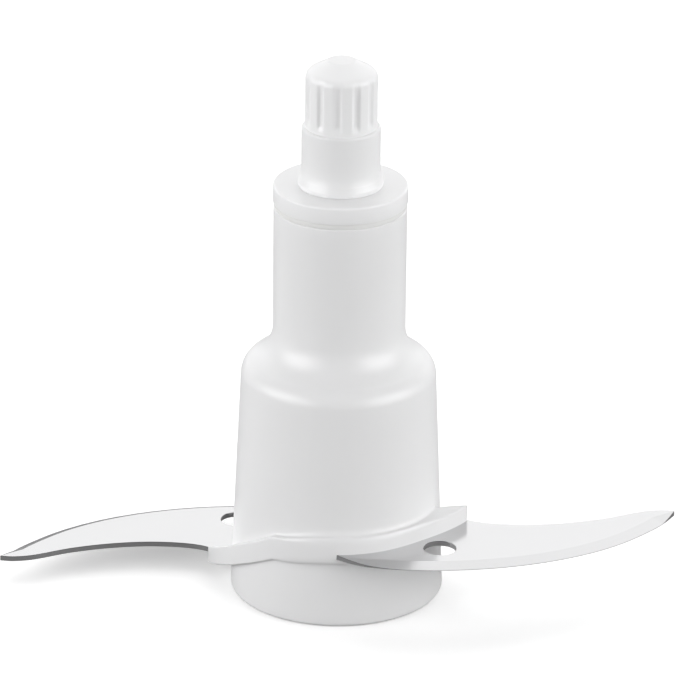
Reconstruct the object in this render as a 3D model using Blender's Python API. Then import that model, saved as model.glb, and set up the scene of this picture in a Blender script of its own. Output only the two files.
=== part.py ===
"""Knife insert of a food processor: a hollow hub that turns on the bowl's centre pin, two blades
held in it at different heights, and a splined tip at the top that the lid's drive turns.

Sizes are in millimetres and MM turns them into metres. +Z is up, Z = 0 is the foot of the hub, the
Z axis is the axis that the knife turns about, and the blades point along +X and -X.
"""

import math

import bmesh
import bpy

MM = 0.001
GAP = 0.3  # between pieces that touch on the real object
BEYOND = 1.0  # how far a cutter runs past what it cuts
FACE_STEP = 0.01  # height between two rings that make one flat face
SHOULDER_STEP = 0.1  # height of the tip's shoulder ring over the grooves' end
RING_EDGE = 0.4  # chamfer of the bushes, the base cover and the spacer
CLAMP_EDGE = 0.6

# The hub's outside
BASE_RADIUS = 20.0
FOOT_EDGE = 0.8
SHELL_WALL = 2.0
SKIRT_TOP_RADIUS = 18.25
SKIRT_TOP = 43.3
SHOULDER_RADIUS = 3.9
SHOULDER_SLOPE = 62.5  # degrees from the vertical
WAIST_RADIUS = 7.0
BARREL_RADIUS = 12.37
BARREL_WALL = 1.77

# The stack above the barrel
BARREL_TOP = 76.9
COLLAR_SEAL = 0.4
COLLAR_HEIGHT = 3.3
COLLAR_PROUD = 0.13
COLLAR_EDGE = 0.4
COLLAR_SPIGOT = 2.7
NECK_RADIUS = 7.3
NECK_FOOT_RADIUS = 7.9
NECK_FOOT = 1.4
NECK_HEIGHT = 11.3
NECK_SHANK_RADIUS = 6.4
NECK_CHAMFER = 0.5
TIP_RADIUS = 6.7
TIP_HEIGHT = 10.1
TIP_CONE = 2.4
TIP_TOP_RADIUS = 2.7
TIP_SHANK_RADIUS = 4.3
TIP_SHANK_DROP = 8.0  # how far the shank reaches below the collar's top
CROSS_PIN_RADIUS = 1.0

# The tip's splines
SPLINES = 12
SPLINE_DEPTH = 0.55
SPLINE_GROOVE = 13.0  # degrees
SPLINE_PHASE = -95.5  # degrees, the middle of one groove
SPLINE_FLOOR = 0.6  # share of a groove's width that is flat
SPLINE_RIM = 0.5  # plain height under the grooves
SPLINE_RUN_IN = 0.6  # height in which they reach full depth
SPLINE_RUN_OUT = 1.6  # below the shoulder, where they start to die away
SPLINE_CROWN = 0.5  # how far the shoulder steps in

# The blades
BLADE_THICKNESS = 1.0
UPPER_BLADE_TOP = 15.2
LOWER_BLADE_TOP = 4.9
BLADE_LENGTH = 43.6  # beyond the hub
BEVEL_WIDTH = 2.2
EDGE_LAND = 0.12
HOLE_RADIUS = 3.05
HOLE_OUT = 0.96  # where the hole lies, in base radii outwards
HOLE_ASIDE = -0.85  # and to the side
BEVEL_RUN = 4  # points of the edge's line that the bevel takes to reach full width
ROOT_RING = 3.3  # width of the ring round the core

# The moulded flange that backs each blade
FLANGE_PROUD = 0.55
FLANGE_REACH = 4.9
FLANGE_LIP = 1.15
FLANGE_ROOF = 3.9
FLANGE_END_ROOF = 3.2
FLANGE_START = 3.4  # height of the rising part on the left, where it starts
FLANGE_MIDDLE = 4.6  # and where it meets the blade's root
FLANGE_EDGE = 0.35
FLANGE_STEP = 6.5  # degrees between stations
FLANGE_END = -11.0  # degrees from +X, where the part over the upper blade ends
FLANGE_END_TURN = 0.6  # degrees that the end's face takes
FLANGE_END_SKEW = 8.0  # degrees that the end lies further back at the skirt than at its corner
FLANGE_SKEW_RUN = 30.0  # degrees to each side of the end that the skew dies away in
FLANGE_SWELL = 49.0  # degrees before an end that its reach grows in
FLANGE_SWELL_CURVE = 2.5  # how late it grows
FLANGE_FADE = 65.0  # degrees after an end that its reach dies away in
FLANGE_FADE_CURVE = 1.85  # how soon it dies away
FLANGE_RISE_START = 60.0  # degrees after the left end that the top rises to the root's height from
FLANGE_RISE = 25.0  # and the degrees it takes
FLANGE_REAR = 90.0  # degrees from +X, where the rear top starts down to the lower blade
FLANGE_REAR_FALL = 28.0  # and the degrees it takes

# What turns on the bowl's pin
PIN_RADIUS = 4.0
SLEEVE_WALL = 0.9
BUSH_WALL = 1.2
BUSH_LENGTH = 11.0
CORE_SHARE = 0.436  # of the room between the bushes and the barrel that the core's wall takes
CORE_WEB = 3.2
FLAT_SHARE = 0.47  # of the core's wall that the flats that drive the blades take
SEAT_THICKNESS = 1.2
COVER_THICKNESS = 1.4
CLAMP_HEIGHT = 4.0
PAD_THICKNESS = 2.0
CLIP_THICKNESS = 0.6
CLIP_OPENING = 0.45  # half the width of its gap, in core radii
CLIP_SHARE = 0.41  # of the core's wall that the clip reaches into

# Steps round each kind of piece
ROUND_STEPS = 56
NECK_STEPS = 40
SMALL_STEPS = 32
BUSH_STEPS = 24
PIN_STEPS = 12

# Sizes that follow from those above
BARREL_BORE = BARREL_RADIUS - BARREL_WALL
COLLAR_BOTTOM = BARREL_TOP + COLLAR_SEAL + 2 * GAP
COLLAR_TOP = COLLAR_BOTTOM + COLLAR_HEIGHT
NECK_BOTTOM = COLLAR_TOP + GAP
NECK_TOP = NECK_BOTTOM + NECK_HEIGHT
TIP_BOTTOM = NECK_TOP + GAP
TIP_SHOULDER = TIP_BOTTOM + TIP_HEIGHT
TIP_TOP = TIP_SHOULDER + TIP_CONE
SLEEVE_RADIUS = PIN_RADIUS + SLEEVE_WALL
BUSH_RADIUS = SLEEVE_RADIUS + GAP + BUSH_WALL
CORE_BORE = BUSH_RADIUS + GAP
CORE_WALL = CORE_SHARE * (BARREL_BORE - CORE_BORE)
CORE_FLAT = FLAT_SHARE * CORE_WALL
CLIP_BITE = CLIP_SHARE * CORE_WALL
CORE_RADIUS = CORE_BORE + CORE_WALL
RING_BORE = CORE_RADIUS + GAP
RING_RADIUS = RING_BORE + ROOT_RING
SEAT_RADIUS = RING_RADIUS - 1.0
UPPER_BLADE_BOTTOM = UPPER_BLADE_TOP - BLADE_THICKNESS
LOWER_BLADE_BOTTOM = LOWER_BLADE_TOP - BLADE_THICKNESS
SEAT_TOP = LOWER_BLADE_BOTTOM - GAP
COVER_TOP = SEAT_TOP - SEAT_THICKNESS - GAP
COVER_BOTTOM = COVER_TOP - COVER_THICKNESS
CLAMP_BOTTOM = UPPER_BLADE_TOP + GAP
CLAMP_TOP = CLAMP_BOTTOM + CLAMP_HEIGHT
SHANK_BOTTOM = COLLAR_TOP - TIP_SHANK_DROP
WEB_TOP = SHANK_BOTTOM - 3 * GAP
WEB_BOTTOM = WEB_TOP - CORE_WEB
CROSS_PIN_HEIGHT = SHANK_BOTTOM + 2 * CROSS_PIN_RADIUS
PAD_BOTTOM = WEB_BOTTOM - GAP - PAD_THICKNESS
CLIP_BOTTOM = COVER_TOP + 2 * GAP
CLIP_TOP = CLIP_BOTTOM + CLIP_THICKNESS


def clear_scene():
    for thing in list(bpy.data.objects):
        bpy.data.objects.remove(thing, do_unlink=True)


def make_material(name, colour, roughness, metallic=0.0):
    material = bpy.data.materials.new(name)
    material.use_nodes = True
    shader = material.node_tree.nodes["Principled BSDF"]
    shader.inputs["Base Color"].default_value = (*colour, 1.0)
    shader.inputs["Roughness"].default_value = roughness
    shader.inputs["Metallic"].default_value = metallic
    return material


def make_object(name, shape, material):
    """Turns a bmesh in millimetres into a named object in metres."""
    bmesh.ops.remove_doubles(shape, verts=shape.verts, dist=0.0005)
    bmesh.ops.recalc_face_normals(shape, faces=shape.faces)
    bmesh.ops.scale(shape, vec=(MM, MM, MM), verts=shape.verts)
    mesh = bpy.data.meshes.new(name)
    shape.to_mesh(mesh)
    shape.free()
    mesh.shade_smooth()
    mesh.set_sharp_from_angle(angle=math.radians(32))
    thing = bpy.data.objects.new(name, mesh)
    bpy.context.collection.objects.link(thing)
    if material:
        thing.data.materials.append(material)
    return thing


def arc(centre, radius, start, end, steps):
    """Points (r, z) on an arc, with the angles in degrees from the outward direction."""
    points = []
    for step in range(steps + 1):
        angle = math.radians(start + (end - start) * step / steps)
        points.append((centre[0] + radius * math.cos(angle), centre[1] + radius * math.sin(angle)))
    return points


def turned_shape(profile, steps):
    """Spins a closed profile of (r, z) points once round Z."""
    shape = bmesh.new()
    corners = [shape.verts.new((r, 0.0, z)) for r, z in profile]
    edges = []
    for first, second in zip(corners, corners[1:] + corners[:1]):
        if first.co.x > 0.0 or second.co.x > 0.0:
            edges.append(shape.edges.new((first, second)))
    bmesh.ops.spin(
        shape, geom=corners + edges, cent=(0, 0, 0), axis=(0, 0, 1), angle=math.tau, steps=steps,
        use_merge=True, use_duplicate=False,
    )
    return shape


def turned(name, profile, material, steps=SMALL_STEPS):
    return make_object(name, turned_shape(profile, steps), material)


def tube_profile(inner, outer, bottom, top, edge=0.0):
    """A plain ring. The edge is a chamfer on its two outer corners."""
    if edge == 0.0:
        return [(inner, bottom), (outer, bottom), (outer, top), (inner, top)]
    return [
        (inner, bottom), (outer - edge, bottom), (outer, bottom + edge),
        (outer, top - edge), (outer - edge, top), (inner, top),
    ]


def stacked_shape(rings):
    """Skins rings of equal point count, lowest first, and closes both ends."""
    shape = bmesh.new()
    rows = [[shape.verts.new(point) for point in ring] for ring in rings]
    for lower, upper in zip(rows, rows[1:]):
        for index in range(len(lower)):
            after = (index + 1) % len(lower)
            shape.faces.new((lower[index], lower[after], upper[after], upper[index]))
    shape.faces.new(list(reversed(rows[0])))
    shape.faces.new(rows[-1])
    return shape


def prism_shape(outline, bottom, top):
    return stacked_shape([[(x, y, z) for x, y in outline] for z in (bottom, top)])


def cylinder_outline(radius, centre=(0.0, 0.0), steps=SMALL_STEPS):
    return [
        (centre[0] + radius * math.cos(math.tau * step / steps),
         centre[1] + radius * math.sin(math.tau * step / steps))
        for step in range(steps)
    ]


def cut(thing, name, shape, operation="DIFFERENCE"):
    """Adds a Boolean with a hidden helper made from the shape."""
    helper = make_object(name, shape, None)
    helper.hide_render = True
    helper.display_type = "WIRE"
    modifier = thing.modifiers.new(name, "BOOLEAN")
    modifier.operation = operation
    modifier.solver = "EXACT"
    modifier.object = helper


def smooth_line(points, steps):
    """A smooth curve through the points, with the given steps between neighbours."""
    padded = [points[0]] + list(points) + [points[-1]]
    line = []
    for before, start, end, after in zip(padded, padded[1:], padded[2:], padded[3:]):
        for step in range(steps):
            t = step / steps
            line.append(tuple(
                0.5 * (2 * b + (c - a) * t + (2 * a - 5 * b + 4 * c - d) * t ** 2
                       + (3 * b - a - 3 * c + d) * t ** 3)
                for a, b, c, d in zip(before, start, end, after)
            ))
    line.append(tuple(points[-1]))
    return line


# The hub's shell


def shoulder_profile():
    """The outer line from the top of the skirt over the shoulder into the barrel, going up."""
    lean = math.degrees(math.atan2(BASE_RADIUS - SKIRT_TOP_RADIUS, SKIRT_TOP))
    slope = math.radians(SHOULDER_SLOPE)
    centre = (
        SKIRT_TOP_RADIUS - SHOULDER_RADIUS * math.cos(math.radians(lean)),
        SKIRT_TOP - SHOULDER_RADIUS * math.sin(math.radians(lean)),
    )
    crown = arc(centre, SHOULDER_RADIUS, lean, SHOULDER_SLOPE, 4)
    hollow_x = BARREL_RADIUS + WAIST_RADIUS
    start_r = hollow_x - WAIST_RADIUS * math.cos(slope)
    run = (crown[-1][0] - start_r) / math.tan(slope)
    start_z = crown[-1][1] + run
    hollow_z = start_z + WAIST_RADIUS * math.sin(slope)
    hollow = arc((hollow_x, hollow_z), WAIST_RADIUS, 180 + SHOULDER_SLOPE, 180, 5)
    return crown + hollow


def skirt_bore(height):
    """The skirt's inner radius at a height."""
    share = height / SKIRT_TOP
    return BASE_RADIUS - SHELL_WALL + (SKIRT_TOP_RADIUS - BASE_RADIUS) * share


def hub_profile():
    shoulder = shoulder_profile()
    foot = arc((BASE_RADIUS - FOOT_EDGE, FOOT_EDGE), FOOT_EDGE, -90, 0, 3)
    waist_top = shoulder[-1][1]
    inside = [
        (BARREL_BORE, BARREL_TOP), (BARREL_BORE, waist_top - SHELL_WALL),
        (skirt_bore(SKIRT_TOP), SKIRT_TOP), (skirt_bore(0.0), 0.0),
    ]
    return foot + shoulder + [(BARREL_RADIUS, BARREL_TOP)] + inside


def flange_section(angle):
    """(outer radius, underside, top) of the flange, with the angle in degrees from +X, -90 to 270.

    In front it runs from its end over the upper blade back to that blade's root. On the left it
    climbs to there from under the lower blade, and on the right and behind it does the same, the
    other way up.
    """
    upper_floor = UPPER_BLADE_BOTTOM - FLANGE_LIP
    lower_floor = LOWER_BLADE_BOTTOM - FLANGE_LIP
    upper_end = UPPER_BLADE_TOP + FLANGE_END_ROOF
    upper_root = UPPER_BLADE_TOP + FLANGE_ROOF
    lower_root = LOWER_BLADE_TOP + FLANGE_ROOF
    under_upper = UPPER_BLADE_BOTTOM - GAP
    under_lower = LOWER_BLADE_BOTTOM - GAP
    past_end = angle - FLANGE_END
    past_lower_end = past_end - 180.0
    if past_end <= 0.0:
        reach = max(0.0, 1.0 + past_end / FLANGE_SWELL) ** FLANGE_SWELL_CURVE
        share = 1.0 + past_end / (90.0 + FLANGE_END)
        underside, top = upper_floor, upper_root + (upper_end - upper_root) * share
    elif past_end <= FLANGE_FADE:
        share = past_end / FLANGE_FADE
        reach = (1.0 - share) ** FLANGE_FADE_CURVE
        underside = upper_floor - FLANGE_LIP + (lower_floor - upper_floor + FLANGE_LIP) * share
        top = under_upper + (lower_root - under_upper) * share
    elif past_lower_end <= 0.0:
        reach = max(0.0, 1.0 + past_lower_end / FLANGE_SWELL) ** FLANGE_SWELL_CURVE
        fall = min(1.0, max(0.0, (angle - FLANGE_REAR) / FLANGE_REAR_FALL))
        underside = lower_floor - FLANGE_LIP * reach
        top = lower_root + (under_lower - lower_root) * fall
    else:
        climb = min(1.0, past_lower_end / FLANGE_FADE)
        rise = min(1.0, max(0.0, (past_lower_end - FLANGE_RISE_START) / FLANGE_RISE))
        reach = (1.0 - climb) ** FLANGE_FADE_CURVE
        start = lower_floor - FLANGE_LIP
        underside = start + (upper_floor - start) * climb
        height = FLANGE_START + (FLANGE_MIDDLE - FLANGE_START) * climb
        top = underside + height + (upper_root - upper_floor - height) * rise
    radius = BASE_RADIUS + FLANGE_PROUD + (FLANGE_REACH - FLANGE_PROUD) * reach
    return radius, underside, top


def flange_shape():
    """The flange as a closed band round the skirt, rooted inside the skirt's wall."""
    root = BASE_RADIUS - SHELL_WALL / 2
    steps = round(360 / FLANGE_STEP)
    angles = [-90.0 + 360.0 * step / steps for step in range(steps)]
    angles += [FLANGE_END, FLANGE_END + FLANGE_END_TURN, FLANGE_END + 180.0]
    shape = bmesh.new()
    loops = []
    for angle in sorted(angles):
        radius, underside, top = flange_section(angle)
        section = [
            (root, underside), (radius - FLANGE_EDGE, underside), (radius, underside + FLANGE_EDGE),
            (radius, top - FLANGE_EDGE), (radius - FLANGE_EDGE, top), (root, top),
        ]
        skew = FLANGE_END_SKEW * max(0.0, 1.0 - abs(angle - FLANGE_END) / FLANGE_SKEW_RUN)
        loop = []
        for r, z in section:
            share = (BASE_RADIUS + FLANGE_REACH - r) / (BASE_RADIUS + FLANGE_REACH - root)
            turn = math.radians(angle - skew * share)
            loop.append(shape.verts.new((r * math.cos(turn), r * math.sin(turn), z)))
        loops.append(loop)
    for first, second in zip(loops, loops[1:] + loops[:1]):
        for index in range(len(first)):
            after = (index + 1) % len(first)
            shape.faces.new((first[index], second[index], second[after], first[after]))
    return shape


def make_hub_shell(material):
    shell = turned("hub_shell", hub_profile(), material, ROUND_STEPS)
    cut(shell, "flange_form", flange_shape(), "UNION")
    cut(shell, "upper_blade_slot", blade_slot_shape(UPPER_BLADE_BOTTOM, 1), "DIFFERENCE")
    cut(shell, "lower_blade_slot", blade_slot_shape(LOWER_BLADE_BOTTOM, -1), "DIFFERENCE")


# The blades


def blade_edges():
    """The leading (outer, curved) edge from root to tip, and the trailing edge from tip to root."""
    def spot(share, side):
        """A point at this share of the blade's length, and so many base radii to the side."""
        return BASE_RADIUS + share * BLADE_LENGTH, side * BASE_RADIUS

    root = BASE_RADIUS
    leading = [
        (-0.02 * root, -root - GAP), (0.3 * root, -1.185 * root), (0.85 * root, -1.245 * root),
        spot(0.23, -1.17), spot(0.505, -0.97), spot(0.734, -0.665), spot(0.917, -0.262),
        spot(1.0, 0.03),
    ]
    trailing = [
        spot(1.0, 0.03), spot(0.94, 0.045), spot(0.85, 0.002), spot(0.69, -0.16),
        spot(0.505, -0.275), spot(0.32, -0.315), spot(0.14, -0.255), (root, -0.05 * root),
        (0.84 * root, 0.1 * root),
    ]
    return smooth_line(leading, 4), smooth_line(trailing, 3)


def blade_root():
    """The line inside the hub from the trailing edge round the ring back to the leading edge."""
    ring = arc((0.0, 0.0), RING_RADIUS, 55, 200, 9)
    return ring + [(-0.42 * BASE_RADIUS, -0.72 * BASE_RADIUS)]


def pushed_in(line, widths):
    """Moves each point of a line to its left by its own width."""
    moved = []
    for index, (x, y) in enumerate(line):
        ahead = line[min(index + 1, len(line) - 1)]
        behind = line[max(index - 1, 0)]
        run, rise = ahead[0] - behind[0], ahead[1] - behind[1]
        length = math.hypot(run, rise)
        moved.append((x - rise / length * widths[index], y + run / length * widths[index]))
    return moved


def blade_shape(bottom):
    leading, trailing = blade_edges()
    last = len(leading) - 1
    widths = []
    for index in range(last + 1):
        widths.append(BEVEL_WIDTH * min(1.0, index / BEVEL_RUN, (last - index) / BEVEL_RUN))
    rest = trailing[1:] + blade_root()
    foot = leading + rest
    crown = pushed_in(leading, widths) + rest
    top = bottom + BLADE_THICKNESS
    levels = ((foot, bottom), (foot, bottom + EDGE_LAND), (crown, top))
    return stacked_shape([[(x, y, z) for x, y in outline] for outline, z in levels])


def turned_round(shape, side):
    """The second blade is the first one turned half a turn about the knife's axis."""
    if side < 0:
        for corner in shape.verts:
            corner.co.x = -corner.co.x
            corner.co.y = -corner.co.y
    return shape


def blade_slot_shape(bottom, side):
    """The blade's outline, a gap larger all round."""
    leading, trailing = blade_edges()
    outline = leading + trailing[1:] + blade_root()
    closed = [outline[-1]] + outline + [outline[0]]
    wider = pushed_in(closed, [-GAP] * len(closed))[1:-1]
    return turned_round(prism_shape(wider, bottom - GAP, bottom + BLADE_THICKNESS + GAP), side)


def flatted_outline(radius, flat):
    """A circle with two flats, square to Y."""
    return [(x, max(-flat, min(flat, y))) for x, y in cylinder_outline(radius)]


def make_blade(name, bottom, side, material):
    blade = make_object(name, turned_round(blade_shape(bottom), side), material)
    low, high = bottom - BEYOND, bottom + BLADE_THICKNESS + BEYOND
    bore = flatted_outline(RING_BORE, RING_BORE - CORE_FLAT)
    middle = (HOLE_OUT * BASE_RADIUS, HOLE_ASIDE * BASE_RADIUS)
    hole = cylinder_outline(HOLE_RADIUS, middle, BUSH_STEPS)
    cut(blade, name + "_bore", prism_shape(bore, low, high))
    cut(blade, name + "_hole", turned_round(prism_shape(hole, low, high), side))


# The stack above the barrel


def make_collar(material):
    outer = BARREL_RADIUS + COLLAR_PROUD
    bore = NECK_SHANK_RADIUS + GAP
    spigot_bottom = COLLAR_BOTTOM - COLLAR_SPIGOT
    profile = [
        (RING_BORE, spigot_bottom), (BARREL_BORE - GAP, spigot_bottom),
        (BARREL_BORE - GAP, COLLAR_BOTTOM), (outer, COLLAR_BOTTOM), (outer, COLLAR_TOP - COLLAR_EDGE),
        (outer - COLLAR_EDGE / 3, COLLAR_TOP - COLLAR_EDGE / 3), (outer - COLLAR_EDGE, COLLAR_TOP),
        (bore, COLLAR_TOP), (bore, COLLAR_BOTTOM), (RING_BORE, COLLAR_BOTTOM),
    ]
    turned("collar_cap", profile, material, ROUND_STEPS)


def make_collar_seal(material):
    low = BARREL_TOP + GAP
    profile = tube_profile(BARREL_BORE, BARREL_RADIUS - COLLAR_PROUD, low, low + COLLAR_SEAL)
    turned("collar_seal", profile, material, ROUND_STEPS)


def make_neck(material):
    bore = TIP_SHANK_RADIUS + GAP
    foot_top = NECK_BOTTOM + NECK_FOOT
    blend = NECK_FOOT_RADIUS - NECK_RADIUS
    profile = [
        (bore, SHANK_BOTTOM - 2 * GAP), (NECK_SHANK_RADIUS, SHANK_BOTTOM - 2 * GAP),
        (NECK_SHANK_RADIUS, NECK_BOTTOM), (NECK_FOOT_RADIUS, NECK_BOTTOM),
        (NECK_FOOT_RADIUS, foot_top - blend), (NECK_RADIUS, foot_top + blend),
        (NECK_RADIUS, NECK_TOP - NECK_CHAMFER), (NECK_RADIUS - NECK_CHAMFER, NECK_TOP),
        (bore, NECK_TOP),
    ]
    neck = turned("neck_sleeve", profile, material, NECK_STEPS)
    cut(neck, "neck_pin_hole", cross_hole_shape())


def cross_hole_shape():
    """The hole for the cross pin, along X through every piece that it ties together."""
    radius = CROSS_PIN_RADIUS + GAP
    shape = prism_shape(cylinder_outline(radius, steps=PIN_STEPS), -RING_BORE, RING_BORE)
    for corner in shape.verts:
        x, y, z = corner.co
        corner.co = (z, y, CROSS_PIN_HEIGHT - x)
    return shape


def make_cross_pin(material):
    reach = CORE_RADIUS - GAP
    shape = prism_shape(cylinder_outline(CROSS_PIN_RADIUS, steps=PIN_STEPS), -reach, reach)
    for corner in shape.verts:
        x, y, z = corner.co
        corner.co = (z, y, CROSS_PIN_HEIGHT - x)
    make_object("tip_pin", shape, material)


def spline_ring(radius, depth, height):
    """One ring round the splined tip, with the grooves sunk to the given depth."""
    ring = []
    half = SPLINE_GROOVE / 2
    offsets = (-half, -half * SPLINE_FLOOR, half * SPLINE_FLOOR, half, 180 / SPLINES)
    for spline in range(SPLINES):
        for offset in offsets:
            angle = math.radians(SPLINE_PHASE + spline * 360 / SPLINES + offset)
            sunk = depth if abs(offset) < half else 0.0
            r = radius - sunk
            ring.append((r * math.cos(angle), r * math.sin(angle), height))
    return ring


def make_drive_tip(material):
    shoulder = TIP_SHOULDER
    rings = [
        spline_ring(TIP_SHANK_RADIUS, 0.0, SHANK_BOTTOM),
        spline_ring(TIP_SHANK_RADIUS, 0.0, TIP_BOTTOM),
        spline_ring(TIP_RADIUS, 0.0, TIP_BOTTOM + FACE_STEP),
        spline_ring(TIP_RADIUS, 0.0, TIP_BOTTOM + SPLINE_RIM),
        spline_ring(TIP_RADIUS, SPLINE_DEPTH, TIP_BOTTOM + SPLINE_RIM + SPLINE_RUN_IN),
        spline_ring(TIP_RADIUS, SPLINE_DEPTH, shoulder - SPLINE_RUN_OUT),
        spline_ring(TIP_RADIUS, SPLINE_DEPTH / 2, shoulder - SPLINE_CROWN),
        spline_ring(TIP_RADIUS - SPLINE_CROWN, 0.0, shoulder + SHOULDER_STEP),
        spline_ring(TIP_TOP_RADIUS, 0.0, TIP_TOP),
    ]
    tip = make_object("drive_tip", stacked_shape(rings), material)
    cut(tip, "tip_pin_hole", cross_hole_shape())


# What turns on the bowl's pin


def make_core_tube(material):
    groove = CORE_BORE + CLIP_BITE + GAP
    head = BARREL_BORE - GAP
    profile = [
        (CORE_BORE, COVER_BOTTOM), (CORE_RADIUS, COVER_BOTTOM),
        (CORE_RADIUS, SEAT_TOP - SEAT_THICKNESS), (SEAT_RADIUS, SEAT_TOP - SEAT_THICKNESS),
        (SEAT_RADIUS, SEAT_TOP), (CORE_RADIUS, SEAT_TOP), (CORE_RADIUS, WEB_BOTTOM),
        (head, WEB_BOTTOM), (head, WEB_TOP - GAP), (CORE_RADIUS, WEB_TOP - GAP),
        (CORE_RADIUS, COLLAR_BOTTOM - GAP), (CORE_BORE, COLLAR_BOTTOM - GAP), (CORE_BORE, WEB_TOP),
        (0.0, WEB_TOP), (0.0, WEB_BOTTOM), (CORE_BORE, WEB_BOTTOM),
        (CORE_BORE, CLIP_TOP + GAP), (groove, CLIP_TOP + GAP),
        (groove, CLIP_BOTTOM - GAP), (CORE_BORE, CLIP_BOTTOM - GAP),
    ]
    core = turned("core_tube", profile, material)
    cut(core, "core_flat_front", core_flat_shape(-1))
    cut(core, "core_flat_rear", core_flat_shape(1))
    cut(core, "core_pin_hole", cross_hole_shape())


def core_flat_shape(side):
    flat = (CORE_RADIUS - CORE_FLAT) * side
    beyond = (CORE_RADIUS + BEYOND) * side
    wide = CORE_RADIUS
    outline = [(-wide, flat), (wide, flat), (wide, beyond), (-wide, beyond)]
    return prism_shape(outline, SEAT_TOP, CLAMP_TOP)


def make_pin_sleeve(material):
    """The tube that stays still on the bowl's pin. Its rim rests on the upper bush."""
    top = PAD_BOTTOM - GAP
    rim = BUSH_RADIUS
    profile = [
        (PIN_RADIUS, COVER_TOP), (SLEEVE_RADIUS, COVER_TOP), (SLEEVE_RADIUS, top - SEAT_THICKNESS),
        (rim, top - SEAT_THICKNESS), (rim, top), (PIN_RADIUS, top),
    ]
    turned("pin_sleeve", profile, material, BUSH_STEPS)


def make_bushes(material):
    inner = SLEEVE_RADIUS + GAP
    upper_top = PAD_BOTTOM - GAP - SEAT_THICKNESS - GAP
    lower_bottom = CLIP_TOP + GAP
    spans = {
        "lower_bush": (lower_bottom, lower_bottom + BUSH_LENGTH),
        "upper_bush": (upper_top - BUSH_LENGTH, upper_top),
    }
    for name, (bottom, top) in spans.items():
        turned(name, tube_profile(inner, BUSH_RADIUS, bottom, top, RING_EDGE), material, BUSH_STEPS)


def make_thrust_pad(material):
    top = PAD_BOTTOM + PAD_THICKNESS
    profile = [(0.0, PAD_BOTTOM), (BUSH_RADIUS, PAD_BOTTOM), (BUSH_RADIUS, top), (0.0, top)]
    turned("thrust_pad", profile, material, BUSH_STEPS)


def make_bush_clip(material):
    """A sprung ring with one gap, in the groove below the lower bush."""
    ring = tube_profile(SLEEVE_RADIUS + GAP, CORE_BORE + CLIP_BITE, CLIP_BOTTOM, CLIP_TOP)
    clip = turned("bush_clip", ring, material, BUSH_STEPS)
    reach = CORE_RADIUS
    half = CLIP_OPENING * reach
    opening = [(0.0, -half), (reach, -half), (reach, half), (0.0, half)]
    cut(clip, "clip_opening", prism_shape(opening, CLIP_BOTTOM - BEYOND, CLIP_TOP + BEYOND))


def make_base_cover(material):
    outer = skirt_bore(COVER_TOP) - GAP
    profile = tube_profile(RING_BORE, outer, COVER_BOTTOM, COVER_TOP, RING_EDGE)
    turned("base_cover", profile, material, NECK_STEPS)


def make_blade_clamp(material):
    low, high = LOWER_BLADE_TOP + GAP, UPPER_BLADE_BOTTOM - GAP
    turned("blade_spacer", tube_profile(RING_BORE, SEAT_RADIUS, low, high, RING_EDGE), material)
    clamp = tube_profile(RING_BORE, SEAT_RADIUS, CLAMP_BOTTOM, CLAMP_TOP, CLAMP_EDGE)
    turned("clamp_ring", clamp, material)


def main():
    clear_scene()
    white_plastic = make_material("white_plastic", (0.82, 0.82, 0.83), 0.32)
    inner_plastic = make_material("inner_plastic", (0.74, 0.75, 0.77), 0.45)
    bearing_plastic = make_material("bearing_plastic", (0.88, 0.87, 0.82), 0.4)
    blade_steel = make_material("blade_steel", (0.66, 0.66, 0.67), 0.16, 1.0)
    plain_steel = make_material("plain_steel", (0.55, 0.55, 0.56), 0.3, 1.0)
    seal_rubber = make_material("seal_rubber", (0.8, 0.8, 0.79), 0.6)

    make_hub_shell(white_plastic)
    make_blade("upper_blade", UPPER_BLADE_BOTTOM, 1, blade_steel)
    make_blade("lower_blade", LOWER_BLADE_BOTTOM, -1, blade_steel)
    make_collar(white_plastic)
    make_collar_seal(seal_rubber)
    make_neck(white_plastic)
    make_drive_tip(white_plastic)
    make_cross_pin(plain_steel)
    make_core_tube(inner_plastic)
    make_pin_sleeve(plain_steel)
    make_bushes(bearing_plastic)
    make_thrust_pad(bearing_plastic)
    make_bush_clip(plain_steel)
    make_base_cover(inner_plastic)
    make_blade_clamp(inner_plastic)


if __name__ == "__main__":
    main()
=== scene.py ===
"""Knife insert of a food processor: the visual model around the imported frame.

Sizes in the code are in metres in the frame's own axes. +Z is up, Z = 0 is the foot of the hub and
the Z axis is the axis that the knife turns about.
"""

import math

import bmesh
import bpy
from bpy.props import FloatProperty, FloatVectorProperty, IntProperty, PointerProperty
from mathutils import Euler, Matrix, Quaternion, Vector


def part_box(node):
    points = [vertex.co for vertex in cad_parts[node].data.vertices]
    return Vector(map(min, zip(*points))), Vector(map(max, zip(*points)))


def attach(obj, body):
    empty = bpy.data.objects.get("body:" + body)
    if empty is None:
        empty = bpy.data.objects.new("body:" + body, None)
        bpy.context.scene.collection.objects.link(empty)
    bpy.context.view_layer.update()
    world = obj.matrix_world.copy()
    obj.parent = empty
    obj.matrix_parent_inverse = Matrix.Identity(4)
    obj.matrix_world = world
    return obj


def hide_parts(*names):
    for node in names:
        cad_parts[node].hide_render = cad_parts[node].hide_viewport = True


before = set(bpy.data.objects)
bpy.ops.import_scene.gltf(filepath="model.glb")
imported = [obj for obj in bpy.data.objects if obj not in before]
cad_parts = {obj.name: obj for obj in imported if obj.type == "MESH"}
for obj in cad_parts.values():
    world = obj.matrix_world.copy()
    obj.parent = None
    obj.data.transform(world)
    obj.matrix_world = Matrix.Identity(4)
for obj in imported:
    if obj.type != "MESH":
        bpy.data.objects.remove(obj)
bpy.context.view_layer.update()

bl_info = {
    "name": "Food processor knife insert",
    "version": (1, 0, 0),
    "blender": (4, 5, 0),
    "location": "3D View > Sidebar > Knife",
    "description": "Builds the visual model of a knife insert around its CAD frame",
    "category": "Add Mesh",
}

MM = 0.001
GAP = 0.3 * MM  # between pieces that touch on the real object


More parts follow.
